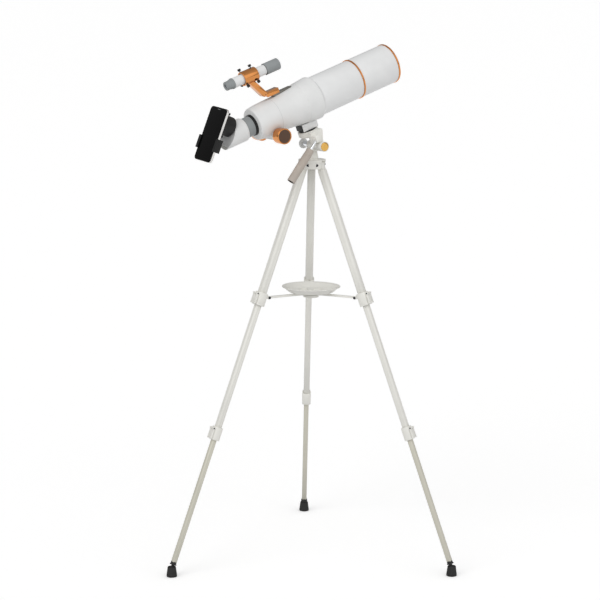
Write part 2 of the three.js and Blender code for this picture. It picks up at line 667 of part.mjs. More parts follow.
function finderTube() {
  const { axis, tube, wall, rear, front } = FINDER;
  return piece('finder_tube', pipe('x', tube, tube - wall, rear, front, 20, [0, 0, axis]), WHITE);
}

function finderHood() {
  const { axis, front, wall } = FINDER;
  const { radius } = HOOD;
  const profile = [
    [radius - 3, front + GAP], [radius, front + GAP], [radius, HOOD.front], [radius - wall, HOOD.front],
    [radius - wall, front + 8], [radius - 3, front + 6], [radius - 3, front + GAP],
  ];
  return piece('finder_hood', turned('x', profile, 20, [0, 0, axis]), GREY);
}

function finderEyepiece() {
  const { axis, rear, tube } = FINDER;
  const eye = FINDER_EYE_REAR;
  const profile = [
    [0, rear - GAP], [tube + 0.8, rear - GAP], [tube + 0.8, rear - 5], [tube - 0.6, rear - 6],
    [tube - 0.6, rear - 10], [tube - 1.6, rear - 11], [tube - 1.6, eye + 1], [tube - 2.6, eye],
    [6, eye], [5, eye + 4], [0, eye + 4],
  ];
  return piece('finder_eyepiece', turned('x', profile, 20, [0, 0, axis]), GREY);
}

// ---------- assembly ----------
function opticalTube() {
  const group = new THREE.Group();
  group.position.z = AXIS_ABOVE_TILT;
  group.add(
    rearShell(), mainTube(), copperRing('joint_ring', TUBE.front + GAP, RING.jointLength), dewShield(),
    copperRing('front_ring', DEW.front + GAP, RING.frontLength), objectiveLens(), saddle(), finderRail(),
    drawTube(), drawRing(), ...focusWheel(), diagonalHousing(), diagonalPrism(), eyepiece(), phoneAdapter(),
    finderBracket(), finderTube(), finderHood(), finderEyepiece(),
  );
  return group;
}

function tiltAssembly() {
  const group = new THREE.Group();
  group.position.z = TILT_HEIGHT;
  group.rotation.y = -ELEVATION;
  group.add(tiltBody(), platformPad(), tiltAxle(), tiltLockKnob(), handle(), opticalTube());
  return group;
}

const telescope = new THREE.Group();
telescope.position.x = PAN_AXIS_X;
telescope.add(tripodHub(), spreaderHub(), tray(), panBase(), tiltAssembly());
for (const [side, azimuth] of LEGS) {
  telescope.add(tripodLeg(side, azimuth));
}

export default telescope;
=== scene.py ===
import json
import math

import bmesh
import bpy
from mathutils import Matrix, Vector


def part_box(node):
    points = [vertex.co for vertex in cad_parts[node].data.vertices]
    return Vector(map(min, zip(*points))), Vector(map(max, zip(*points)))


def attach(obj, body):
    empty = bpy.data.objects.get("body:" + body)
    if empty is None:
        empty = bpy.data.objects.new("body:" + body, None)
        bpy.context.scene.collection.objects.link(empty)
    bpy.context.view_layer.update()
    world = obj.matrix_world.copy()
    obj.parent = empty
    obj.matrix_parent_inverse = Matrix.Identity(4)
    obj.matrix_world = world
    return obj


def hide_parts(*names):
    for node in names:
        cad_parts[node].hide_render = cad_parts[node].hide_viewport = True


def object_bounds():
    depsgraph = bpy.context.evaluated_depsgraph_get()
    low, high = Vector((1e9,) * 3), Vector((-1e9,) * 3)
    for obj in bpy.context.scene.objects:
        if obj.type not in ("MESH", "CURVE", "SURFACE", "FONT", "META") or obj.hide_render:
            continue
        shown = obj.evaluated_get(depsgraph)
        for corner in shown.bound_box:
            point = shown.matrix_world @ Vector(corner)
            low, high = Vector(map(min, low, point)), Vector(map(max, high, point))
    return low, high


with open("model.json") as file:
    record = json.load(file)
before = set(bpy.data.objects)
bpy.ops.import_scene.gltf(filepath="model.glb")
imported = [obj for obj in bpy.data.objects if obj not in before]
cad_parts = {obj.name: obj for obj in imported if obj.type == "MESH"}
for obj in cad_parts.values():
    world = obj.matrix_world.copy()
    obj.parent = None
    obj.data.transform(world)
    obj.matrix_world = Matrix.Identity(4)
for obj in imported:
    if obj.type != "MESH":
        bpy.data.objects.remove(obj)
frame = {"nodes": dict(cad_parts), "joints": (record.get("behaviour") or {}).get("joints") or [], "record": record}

CAD_BOX = [list(corner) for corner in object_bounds()]
MM = 0.001
NODES = frame["nodes"]
JOINTS = {joint["name"]: joint for joint in frame["joints"]}
BODIES = frame["record"]["behaviour"]["bodies"]
BODY_OF = {node: body for body, nodes in BODIES.items() for node in nodes}
SIDES = ["left", "right", "back"]
UP = Vector((0, 0, 1))
WAYS = ((-1, "a"), (1, "b"))
SHARP_ANGLE = math.radians(34)
MERGE = 1e-6
ON_AXIS = 2e-5
LOWER_HALF = 6.5 * MM

# The viewing angle, given from the pan axis.
CAMERA_AZIMUTH = math.radians(-32.13)
CAMERA_DISTANCE = 5.236
CAMERA_HEIGHT = 1.579
CAMERA_TILT = math.radians(80.2)
CAMERA_YAW = math.radians(0.31)
CAMERA_ROLL = math.radians(0.37)
CAMERA_LENS = 123.6


# ---------- local frames, all worked out from the joints ----------
def frame_at(origin, along, up=UP):
    """A frame whose z runs along, and whose x is as near up as it can be."""
    z = Vector(along).normalized()
    x = (Vector(up) - z * z.dot(Vector(up))).normalized()
    matrix = Matrix((x, z.cross(x), z)).transposed().to_4x4()
    matrix.translation = Vector(origin)
    return matrix


def joint_point(name):
    return Vector(JOINTS[name]["pos_m"])


def joint_axis(name):
    return Vector(JOINTS[name]["axis"]).normalized()


def on_line(point, through, along):
    """The foot of the perpendicular from a point to a line."""
    return through + along * (point - through).dot(along)


FORWARD = joint_axis("diagonal_turn")
OPTICS = frame_at(on_line(joint_point("tilt"), joint_point("diagonal_turn"), FORWARD), FORWARD)
FINDER = frame_at(joint_point("finder_focus"), FORWARD)
EYE_AXIS = joint_axis("adapter_turn")
EYE = frame_at(joint_point("adapter_turn"), EYE_AXIS, EYE_AXIS.cross(joint_axis("jaw_slide")))
FOCUS = frame_at(joint_point("focus_knob"), (0, 1, 0))
HANDLE = frame_at(joint_point("handle_twist"), joint_axis("handle_twist"))
TILT = frame_at(joint_point("tilt"), (0, 1, 0))
PAN = frame_at((*joint_point("pan").xy, 0), UP, (1, 0, 0))


def leg_frame(side):
    """z runs up the leg from its ankle's line, and x points out from the tripod."""
    top = joint_point(f"fold_{side}")
    outward = joint_axis(f"fold_{side}").cross(UP)
    return frame_at(top, joint_axis(f"middle_slide_{side}"), outward)


def foot_frame(side):
    ankle = joint_point(f"ankle_{side}")
    return frame_at((ankle.x, ankle.y, 0), UP, (1, 0, 0))


def extents(node, place):
    """Lowest and highest corner of a node in a local frame."""
    inverse = place.inverted()
    points = [inverse @ vertex.co for vertex in NODES[node].data.vertices]
    low = Vector([min(point[i] for point in points) for i in range(3)])
    high = Vector([max(point[i] for point in points) for i in range(3)])
    return low, high


# ---------- mesh tools ----------
def new_object(name, bm, sharp=SHARP_ANGLE):
    bmesh.ops.recalc_face_normals(bm, faces=bm.faces)
    mesh = bpy.data.meshes.new(name)
    bm.to_mesh(mesh)
    bm.free()
    for polygon in mesh.polygons:
        polygon.use_smooth = True
    mesh.set_sharp_from_angle(angle=sharp)
    obj = bpy.data.objects.new(name, mesh)
    bpy.context.scene.collection.objects.link(obj)
    return obj


def section(node, place, angle=None):
    """The [radius, along] points, in order, where a half-plane through the frame's z cuts a node.

    The second value says if they close. A given angle turns the half-plane; without one it passes just
    beside the node's farthest point.
    """
    beside = 1e-4
    keys_per_metre = 2e5
    straight = 1e-9
    inverse = place.inverted()
    mesh = NODES[node].data
    points = [inverse @ vertex.co for vertex in mesh.vertices]
    if angle is None:
        far = max(points, key=lambda point: point.xy.length)
        angle = math.atan2(far.y, far.x) + beside
    across = Vector((-math.sin(angle), math.cos(angle), 0))
    out = Vector((math.cos(angle), math.sin(angle), 0))
    links = {}

    def key(point):
        return round(point[0] * keys_per_metre), round(point[1] * keys_per_metre)

    where = {}
    for polygon in mesh.polygons:
        corners = [points[i] for i in polygon.vertices]
        hits = []
        for start, end in zip(corners, corners[1:] + corners[:1]):
            a, b = start.dot(across), end.dot(across)
            if (a > 0) != (b > 0):
                hit = start.lerp(end, a / (a - b))
                hits.append((hit.dot(out), hit.z))
        if len(hits) == 2 and max(hits[0][0], hits[1][0]) > ON_AXIS:
            first, last = (key(hit) for hit in hits)
            if first != last:
                where[first], where[last] = hits
                links.setdefault(first, set()).add(last)
                links.setdefault(last, set()).add(first)
    ends = [k for k, near in links.items() if len(near) == 1] or [k for k in links if where[k][0] < ON_AXIS]
    walk = [min(ends, key=lambda k: where[k][1]) if ends else min(links)]
    while True:
        onward = [k for k in links[walk[-1]] if k not in walk[-2:] and (k not in walk or k == walk[0])]
        if not onward or onward[0] == walk[0]:
            break
        walk.append(onward[0])
        if where[walk[-1]][0] < ON_AXIS:
            break
    closed = not ends
    path = [(max(where[k][0], 0.0), where[k][1]) for k in walk]
    kept = []
    for i, point in enumerate(path):
        before, after = path[i - 1], path[(i + 1) % len(path)]
        one = (point[0] - before[0]) * (after[1] - point[1])
        other = (point[1] - before[1]) * (after[0] - point[0])
        end = not closed and i in (0, len(path) - 1)
        if end or abs(one - other) > straight:
            kept.append(point)
    return kept, closed


def soften(profile, closed, size, steps=3):
    """Rounds each clear corner of a profile with an arc that starts at most size away from it."""
    share, least_bend, too_short = 0.42, 0.2, 1e-7
    result = []
    count = len(profile)
    for i, corner in enumerate(profile):
        here = Vector(corner)
        if not closed and i in (0, count - 1):
            result.append(here)
            continue
        back = Vector(profile[i - 1]) - here
        ahead = Vector(profile[(i + 1) % count]) - here
        if min(back.length, ahead.length) < too_short or math.pi - back.angle(ahead) < least_bend:
            result.append(here)
            continue
        reach = min(size, share * back.length, share * ahead.length)
        start = here + back.normalized() * reach
        end = here + ahead.normalized() * reach
        for step in range(steps + 1):
            t = step / steps
            result.append(start * (1 - t) ** 2 + here * (2 * t * (1 - t)) + end * t ** 2)
    return result


def turned(name, place, profile, closed=False, segments=96, wave=None):
    """Turns [radius, along] points about the frame's z. wave(angle, radius, along) adds to the radius."""
    bm = bmesh.new()
    rings = []
    for radius, along in profile:
        ring = []
        for i in range(segments):
            angle = 2 * math.pi * i / segments
            r = radius + (wave(angle, radius, along) if wave and radius > MERGE else 0)
            ring.append(bm.verts.new(place @ Vector((r * math.cos(angle), r * math.sin(angle), along))))
        rings.append(ring)
    pairs = list(zip(rings, rings[1:])) + ([(rings[-1], rings[0])] if closed else [])
    for low, high in pairs:
        for i in range(segments):
            j = (i + 1) % segments
            bm.faces.new((low[i], low[j], high[j], high[i]))
    bmesh.ops.remove_doubles(bm, verts=bm.verts, dist=MERGE)
    return new_object(name, bm)


def returned(node, place, size=0.5 * MM, segments=96, wave=None, angle=None, name=None):
    """A turned CAD node made again from its own profile, round and with soft edges."""
    profile, closed = section(node, place, angle)
    check_profile(node, place, profile, angle is None)
    smooth = soften(profile, closed, size)
    return turned(name or f"{node}_fine", place, smooth, closed, segments, wave)


def check_profile(node, place, profile, whole):
    """Stops the script if a profile isn't as long, or as wide where it should be, as its CAD node."""
    length_error, width_error = 0.3 * MM, 0.03
    low, high = extents(node, place)
    along = [point[1] for point in profile]
    radius = max(point[0] for point in profile)
    widest = max(abs(low.x), abs(high.x), abs(low.y), abs(high.y))
    off = max(abs(min(along) - low.z), abs(max(along) - high.z))
    if off > length_error or (whole and abs(radius - widest) > width_error * widest):
        raise ValueError(f"the profile of {node} doesn't match its CAD node")


def refined(node, width=0.5 * MM, segments=2, name=None):
    """A CAD node's own shape with its edges rounded."""
    flat, edge_bend = math.radians(1), math.radians(28)
    bm = bmesh.new()
    bm.from_mesh(NODES[node].data)
    bmesh.ops.remove_doubles(bm, verts=bm.verts, dist=MERGE)
    bmesh.ops.dissolve_limit(bm, angle_limit=flat, verts=bm.verts, edges=bm.edges)
    edges = [edge for edge in bm.edges if edge.is_manifold and edge.calc_face_angle() > edge_bend]
    bmesh.ops.bevel(bm, geom=edges, offset=width, segments=segments, profile=0.5, affect="EDGES",
                    clamp_overlap=True)
    return new_object(name or f"{node}_fine", bm, math.radians(40))


def drum(name, place, radius, start, end, soft=0.3 * MM, segments=32, wave=None):
    """A short solid cylinder with soft edges along the frame's z."""
    profile = soften([(0, start), (radius, start), (radius, end), (0, end)], False, soft)
    return turned(name, place, profile, False, segments, wave)


def slab(name, place, low, high, width=0.4 * MM, segments=2):
    """A box between two corners of a local frame, with rounded edges."""
    bm = bmesh.new()
    bmesh.ops.create_cube(bm, size=1)
    centre = (Vector(low) + Vector(high)) / 2
    size = Vector(high) - Vector(low)
    for vertex in bm.verts:
        vertex.co = place @ (centre + Vector([vertex.co[i] * size[i] for i in range(3)]))
    bmesh.ops.bevel(bm, geom=list(bm.edges), offset=width, segments=segments, profile=0.5, affect="EDGES",
                    clamp_overlap=True)
    return new_object(name, bm)


def hoop(name, place, inner, outer, start, end, soft, segments, wave=None):
    """A ring with a rectangular section and soft edges, turned about the frame's z."""
    outline = [(inner, start), (outer, start), (outer, end), (inner, end)]
    return turned(name, place, soften(outline, True, soft), True, segments, wave)


def carve(obj, tool, how="DIFFERENCE", sharp=SHARP_ANGLE):
    """Joins, cuts or meets a piece with a tool piece, which is then removed."""
    modifier = obj.modifiers.new("carve", "BOOLEAN")
    modifier.operation = how
    modifier.solver = "EXACT"
    modifier.object = tool
    bpy.context.view_layer.update()
    result = obj.evaluated_get(bpy.context.evaluated_depsgraph_get())
    mesh = bpy.data.meshes.new_from_object(result)
    obj.modifiers.clear()
    obj.data = mesh
    for polygon in mesh.polygons:
        polygon.use_smooth = True
    mesh.set_sharp_from_angle(angle=sharp)
    bpy.data.objects.remove(tool)
    return obj


def fluted_outline(half, corner=0.28, flute=0.035, steps=6):
    """A square section with round corners and a shallow flute down the middle of each face."""
    flat_steps, flute_steps = 5, 7
    radius = 2 * half * corner
    flat = half - radius
    points = []
    for quarter in range(4):
        turn = quarter * math.pi / 2
        side = []
        for i in range(-flat_steps, flat_steps + 1):
            y = flat * i / flat_steps
            dip = flute * half * max(0.0, math.cos(math.pi * i / flute_steps)) ** 2 if abs(i) < 4 else 0
            side.append((half - dip, y))
        for i in range(1, steps):
            a = math.pi / 2 * i / steps
            side.append((flat + radius * math.cos(a), flat + radius * math.sin(a)))
        for x, y in side:
            points.append((x * math.cos(turn) - y * math.sin(turn), x * math.sin(turn) + y * math.cos(turn)))
    return points


def fluted_tube(name, place, half, wall, start, end):
    """A hollow leg tube with softly rolled ends."""
    lip = 0.4 * MM
    levels = [(half - wall, start), (half - lip, start), (half, start + lip), (half, end - lip),
              (half - lip, end), (half - wall, end)]
    bm = bmesh.new()
    rings = []
    for size, along in levels:
        rings.append([bm.verts.new(place @ Vector((x, y, along))) for x, y in fluted_outline(size)])
    for low, high in zip(rings, rings[1:] + rings[:1]):
        for i in range(len(low)):
            j = (i + 1) % len(low)
            bm.faces.new((low[i], low[j], high[j], high[i]))
    return new_object(name, bm, math.radians(50))


# ---------- materials ----------
def material(name, color, roughness, metallic=0.0, grain=900.0, bump=0.02, vary=0.03, stretch=(1, 1, 1),
             **sockets):
    """A surface with fine grain in its relief, and slow changes in its colour and roughness."""
    made = bpy.data.materials.new(name)
    made.use_nodes = True
    tree = made.node_tree
    shader = tree.nodes["Principled BSDF"]
    shader.inputs["Metallic"].default_value = metallic
    for socket, value in sockets.items():
        shader.inputs[socket.replace("_", " ")].default_value = value
    place = tree.nodes.new("ShaderNodeTexCoord")
    scale = tree.nodes.new("ShaderNodeMapping")
    scale.inputs["Scale"].default_value = stretch
    tree.links.new(place.outputs["Object"], scale.inputs["Vector"])

    def noise(size, detail):
        node = tree.nodes.new("ShaderNodeTexNoise")
        node.inputs["Scale"].default_value = size
        node.inputs["Detail"].default_value = detail
        tree.links.new(scale.outputs["Vector"], node.inputs["Vector"])
        return node

    fine, slow = noise(grain, 4), noise(26, 3)
    relief = tree.nodes.new("ShaderNodeBump")
    relief.inputs["Strength"].default_value = 1.0
    relief.inputs["Distance"].default_value = bump * MM
    tree.links.new(fine.outputs["Fac"], relief.inputs["Height"])
    tree.links.new(relief.outputs["Normal"], shader.inputs["Normal"])
    ramp = tree.nodes.new("ShaderNodeValToRGB")
    ramp.color_ramp.elements[0].position = 0.3
    ramp.color_ramp.elements[1].position = 0.7
    for element, factor in zip(ramp.color_ramp.elements, (1 - vary, 1 + vary)):
        element.color = (*[min(1.0, channel * factor) for channel in color], 1)
    tree.links.new(slow.outputs["Fac"], ramp.inputs["Fac"])
    tree.links.new(ramp.outputs["Color"], shader.inputs["Base Color"])
    spread = tree.nodes.new("ShaderNodeMapRange")
    spread.inputs["To Min"].default_value = roughness * 0.85
    spread.inputs["To Max"].default_value = min(1.0, roughness * 1.15)
    tree.links.new(fine.outputs["Fac"], spread.inputs["Value"])
    tree.links.new(spread.outputs["Result"], shader.inputs["Roughness"])
    return made


TUBE_PAINT = material("tube_paint", (0.84, 0.845, 0.845), 0.36, grain=1400, bump=0.012, Coat_Weight=0.2)
SHELL_PLASTIC = material("shell_plastic", (0.83, 0.835, 0.83), 0.42, grain=2200, bump=0.02)
SEAM = material("seam", (0.62, 0.63, 0.63), 0.5, grain=2200, bump=0.02)
LEG_PAINT = material("leg_paint", (0.85, 0.84, 0.79), 0.34, 0.0, 1200, 0.012, 0.04, (1, 1, 0.15))
LOWER_PAINT = material("lower_paint", (0.64, 0.62, 0.53), 0.36, 0.0, 1200, 0.012, 0.04, (1, 1, 0.15))
LEG_PLASTIC = material("leg_plastic", (0.86, 0.85, 0.80), 0.45, grain=2400, bump=0.03)
COPPER = material("copper", (0.66, 0.27, 0.085), 0.15, 1.0, 1500, 0.006, 0.06)
GOLD = material("gold", (0.74, 0.44, 0.12), 0.12, 1.0, 1500, 0.004, 0.05)
CHROME = material("chrome", (0.72, 0.73, 0.75), 0.1, 1.0, 1500, 0.003, 0.03)
STEEL = material("steel", (0.20, 0.19, 0.17), 0.34, 1.0, 900, 0.02, 0.1, (0.2, 1, 1))
BOLT = material("bolt", (0.035, 0.035, 0.04), 0.35, 0.8, 1800, 0.01, 0.1)
KNOB_END = material("knob_end", (0.085, 0.036, 0.014), 0.32, grain=1800, bump=0.01, vary=0.12)
GRIP = material("grip", (0.50, 0.44, 0.385), 0.55, grain=2600, bump=0.04, vary=0.06)
BLACK = material("black_plastic", (0.009, 0.009, 0.009), 0.5, grain=2600, bump=0.04, vary=0.15,
                 Specular_IOR_Level=0.3)
LINING = material("lining", (0.008, 0.008, 0.008), 0.85, grain=1600, bump=0.05, vary=0.2)
RUBBER = material("foot_rubber", (0.016, 0.016, 0.016), 0.8, grain=1800, bump=0.06, vary=0.2)
# Painted shade: the diagonal's rear end disc is white plastic like its housing, and this warm grey stands for the
# shade on that downward, backward-facing disc.
REAR_DISC_PAINTED_SHADE = material("rear_disc_painted_shade", (0.40, 0.40, 0.36), 0.45, grain=2200, bump=0.03, vary=0.06)
GREY = material("grey_plastic", (0.29, 0.31, 0.315), 0.42, grain=2400, bump=0.03, vary=0.06)
LENS = material("lens", (0.10, 0.13, 0.20), 0.04, grain=300, bump=0.0, vary=0.05, Transmission_Weight=0.55,
                IOR=1.52, Coat_Weight=1.0, Coat_Roughness=0.02)
SCREEN = material("screen", (0.003, 0.003, 0.003), 0.2, grain=300, bump=0.0, vary=0.1,
                  Specular_IOR_Level=0.12)
PHONE_EDGE = material("phone_edge", (0.72, 0.71, 0.69), 0.25, 0.9, 2000, 0.006, 0.03)


def dress(obj, surface, node=None, body=None):
    """Gives a piece its material and body. A piece made for a CAD node takes its place, and the CAD node is
    hidden.
    """
    obj.data.materials.clear()
    obj.data.materials.append(surface)
    if node and not body:
        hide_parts(node)
    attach(obj, body or BODY_OF[node])
    return obj


def paint_faces(obj, surface, place, chosen):
    """Gives another material to the faces whose centre and normal, in a local frame, are chosen."""
    obj.data.materials.append(surface)
    number = len(obj.data.materials) - 1
    inverse = place.inverted()
    turn = inverse.to_3x3()
    for polygon in obj.data.polygons:
        if chosen(inverse @ polygon.center, turn @ polygon.normal):
            polygon.material_index = number
    return obj


def knurl(teeth, depth, start, end, radius_from=0.0):
    """Fine teeth round the part of a turned piece between two places along it."""
    def wave(angle, radius, along):
        inside = start <= along <= end and radius >= radius_from
        return depth * math.cos(teeth * angle) if inside else 0.0
    return wave


# ---------- tripod ----------
def tripod_hub():
    dress(refined("tripod_hub", 0.8 * MM), LEG_PLASTIC, "tripod_hub")
    radius, start, end = 3.8 * MM, 16 * MM, 22.6 * MM
    for side in SIDES:
        for way, letter in WAYS:
            place = frame_at(joint_point(f"fold_{side}"), joint_axis(f"fold_{side}") * way)
            bolt = drum(f"hub_bolt_{side}_{letter}", place, radius, start, end, 0.9 * MM)
            dress(bolt, BOLT, body="crown")


def tripod_leg(side):
    place = leg_frame(side)
    upper_low, upper_high = extents(f"upper_leg_{side}", place)
    upper_wall, upper_top = 1.5 * MM, -15 * MM
    tube = fluted_tube(f"upper_tube_{side}", place, upper_high.x, upper_wall, upper_low.z, upper_top)
    dress(tube, LEG_PAINT, f"upper_leg_{side}")
    knuckle(side, place)
    low, high = extents(f"middle_leg_{side}", place)
    middle_wall = 1.1 * MM
    tube = fluted_tube(f"middle_tube_{side}", place, high.x, middle_wall, low.z, high.z)
    dress(tube, LEG_PAINT, f"middle_leg_{side}")
    lower_tube(side, place)
    clamp(side, place, "upper", f"leg_{side}", high.x)
    clamp(side, place, "lower", f"middle_{side}", LOWER_HALF)


def knuckle(side, place):
    """The eye round a leg's fold bolt, and the block that joins it to the upper tube."""
    hole, radius, half = 3.4 * MM, 9 * MM, 7.7 * MM
    across = frame_at(joint_point(f"fold_{side}"), joint_axis(f"fold_{side}"))
    eye = hoop(f"knuckle_{side}", across, hole, radius, -half, half, 0.8 * MM, 48)
    dress(eye, LEG_PLASTIC, body=f"leg_{side}")
    joint = slab(f"knuckle_block_{side}", place, (-8 * MM, -half, -16.5 * MM), (8 * MM, half, -4 * MM),
                 0.8 * MM)
    dress(joint, LEG_PLASTIC, body=f"leg_{side}")


def clamp(side, place, level, body, inside):
    """A leg clamp with its lever, and the seal round the tube inside it, whose half width is given."""
    node, lever = f"{level}_clamp_{side}", f"{level}_lever_{side}"
    low, _ = extents(node, place)
    dress(refined(node, 0.9 * MM), LEG_PLASTIC, node)
    dress(refined(lever, 0.7 * MM), LEG_PLASTIC, lever)
    lever_low, lever_high = extents(lever, place)
    for i in range(3):
        z = lever_low.z + (4.5 + 3 * i) * MM
        rib = slab(f"{level}_lever_rib_{side}_{i}", place,
                   (lever_low.x + 3.4 * MM, lever_low.y + 2 * MM, z),
                   (lever_low.x + 4.5 * MM, lever_high.y - 2 * MM, z + 1.2 * MM), 0.3 * MM)
        dress(rib, LEG_PLASTIC, body=lever)
    seal = fluted_tube(f"{level}_seal_{side}", place, inside + 1.1 * MM, 0.9 * MM,
                       low.z - 0.1 * MM, low.z + 1.6 * MM)
    dress(seal, BLACK, body=body)
    hinge = f"{level}_lever_hinge_{side}"
    pin = frame_at(joint_point(hinge), joint_axis(hinge))
    half = (lever_high.y - lever_low.y) / 2
    for way, letter in WAYS:
        ends = sorted((way * (half - 1.5 * MM), way * (half + 0.6 * MM)))
        head = drum(f"{level}_pin_{side}_{letter}", pin, 1.7 * MM, *ends, 0.4 * MM, 24)
        dress(head, BOLT, body=body)


def lower_tube(side, place):
    """The lowest tube of a leg, with the rubber plug and ball that hold its foot."""
    node = f"lower_leg_{side}"
    _, high = extents(node, place)
    wall, radius = 1.2 * MM, 6.3 * MM
    ankle = (place.inverted() @ joint_point(f"ankle_{side}")).z
    end = ankle + 17 * MM
    dress(fluted_tube(f"lower_tube_{side}", place, LOWER_HALF, wall, end, high.z), LOWER_PAINT, node)
    plug = [(0, end + 1 * MM), (7.4 * MM, end + 1 * MM), (7.4 * MM, ankle + 13 * MM),
            (9 * MM, ankle + 11.5 * MM), (9 * MM, ankle + 10 * MM), (4 * MM, ankle + 9.5 * MM),
            (4 * MM, ankle + 4.8 * MM)]
    turns = [math.radians(48 - 6 * i) for i in range(23)]
    ball = [(radius * math.cos(a), ankle + radius * math.sin(a)) for a in turns] + [(0, ankle - radius)]
    flange = turned(f"ankle_plug_{side}", place, soften(plug, False, 0.6 * MM) + ball[1:], False, 48)
    dress(flange, RUBBER, body=f"lower_{side}")


def foot(side):
    place = foot_frame(side)
    treads, depth, inset = 18, 0.3 * MM, 1.1 * MM

    def tread(angle, radius, along):
        """Treads round the sole, which is drawn in so that it stays inside the CAD part's size."""
        inside = radius > 12 * MM and along < 4 * MM
        return depth * math.cos(treads * angle) - inset if inside else 0.0

    dress(returned(f"foot_{side}", place, 0.9 * MM, 108, tread), RUBBER, f"foot_{side}")
    first, pitch, width = 8, 3.2, 1.1 * MM
    for i in range(3):
        z = (first + pitch * i) * MM
        outer = 12.7 * MM - 0.12 * (z - first * MM)
        rib = hoop(f"foot_rib_{side}_{i}", place, 10.4 * MM, outer, z, z + width, 0.4 * MM, 64)
        dress(rib, RUBBER, body=f"foot_{side}")


def spreader():
    for side in SIDES:
        node = f"spreader_arm_{side}"
        dress(refined(node, 0.6 * MM), LEG_PAINT, node)
        place = frame_at(joint_point(f"arm_hinge_{side}"), joint_axis(f"arm_hinge_{side}"))
        for way, letter in WAYS:
            ends = sorted((way * 7.2 * MM, way * 9.8 * MM))
            bolt = drum(f"arm_bolt_{side}_{letter}", place, 3.3 * MM, *ends, 0.8 * MM)
            dress(bolt, BOLT, body=f"leg_{side}")
    dress(returned("spreader_hub", PAN, 0.8 * MM), LEG_PLASTIC, "spreader_hub")


def tray():
    low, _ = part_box("tray")
    dress(returned("tray", PAN, 1.1 * MM, 144), LEG_PLASTIC, "tray")
    floor = low.z + 2 * MM
    sockets, ring_radius = 6, 35 * MM
    rim = [(9.2 * MM, -0.3 * MM), (10.6 * MM, -0.3 * MM), (10.4 * MM, 1.5 * MM), (9.4 * MM, 1.5 * MM)]
    for i in range(sockets):
        angle = math.radians(30 + 60 * i)
        centre = PAN @ Vector((ring_radius * math.cos(angle), ring_radius * math.sin(angle), floor))
        place = frame_at(centre, UP, (1, 0, 0))
        socket = turned(f"tray_socket_{i}", place, soften(rim, True, 0.5 * MM), True, 48)
        dress(socket, LEG_PLASTIC, body="tray")
    place = frame_at(PAN @ Vector((0, 0, floor)), UP, (1, 0, 0))
    teeth = knurl(20, 0.3 * MM, 0.4 * MM, 2.0 * MM, 5 * MM)
    screw = drum("tray_screw", place, 6 * MM, -0.3 * MM, 2.6 * MM, 0.9 * MM, 48, teeth)
    dress(screw, LEG_PLASTIC, body="tray")


# ---------- head ----------
def head():
    dress(refined("pan_base", 0.7 * MM), LEG_PLASTIC, "pan_base")
    dress(refined("tilt_body", 0.8 * MM), LEG_PLASTIC, "tilt_body")
    dress(refined("platform_pad", 0.4 * MM), RUBBER, "platform_pad")
    dress(returned("tilt_axle", TILT, 0.6 * MM, 72), GOLD, "tilt_axle")
    saddle = dress(refined("saddle", 0.8 * MM), SHELL_PLASTIC, "saddle")
    # The saddle's rear end face is painted black as painted shade: it stands for the shadow between the tube and
    # the saddle.
    paint_faces(saddle, BLACK, OPTICS, lambda centre, normal: normal.z < -0.9)
    _, high = extents("tilt_lock_knob", TILT)
    teeth = knurl(14, 0.35 * MM, high.z - 10 * MM, high.z - 6.4 * MM, 11 * MM)
    knob = dress(returned("tilt_lock_knob", TILT, 0.5 * MM, 120, teeth), SHELL_PLASTIC, "tilt_lock_knob")
    paint_faces(knob, CHROME, TILT, lambda centre, normal: centre.z < high.z - 13 * MM)
    dress(returned("handle_rod", HANDLE, 0.6 * MM, 48), CHROME, "handle_rod")
    low, high = extents("handle_grip", HANDLE)
    ribs = knurl(56, 0.22 * MM, low.z + 4 * MM, high.z - 3 * MM, 9.5 * MM)
    grip = dress(returned("handle_grip", HANDLE, 0.7 * MM, 336, ribs), GRIP, "handle_grip")
    paint_faces(grip, LINING, HANDLE, lambda centre, normal: centre.xy.length < 7.7 * MM)


# ---------- telescope ----------
def rear_shell():
    low, _ = extents("rear_shell", OPTICS)
    shell = dress(returned("rear_shell", OPTICS, 1.0 * MM, 144, angle=0.001), SHELL_PLASTIC, "rear_shell")
    paint_faces(shell, BLACK, OPTICS,
                lambda centre, normal: centre.z < low.z + 6.8 * MM and centre.xy.length < 27.4 * MM)
    piece = hoop("focus_boss", FOCUS, 3.4 * MM, 13 * MM, -37 * MM, 37 * MM, 1.2 * MM, 72)
    carve(piece, drum("boss_hollow", OPTICS, 40.5 * MM, low.z + 8 * MM, -50 * MM, 0.1 * MM, 96))
    carve(piece, drum("pinion_nest", FOCUS, 10 * MM, -9 * MM, 9 * MM, 0.1 * MM, 48))
    dress(piece, SHELL_PLASTIC, body="tilt")
    radius = 45.15 * MM
    inner, outer = radius - 0.4 * MM, radius + 0.2 * MM
    seam = [(inner, -84.6 * MM), (outer, -84.4 * MM), (outer, -83.9 * MM), (inner, -83.7 * MM)]
    dress(turned("shell_seam", OPTICS, seam, True, 144), SEAM, body="tilt")


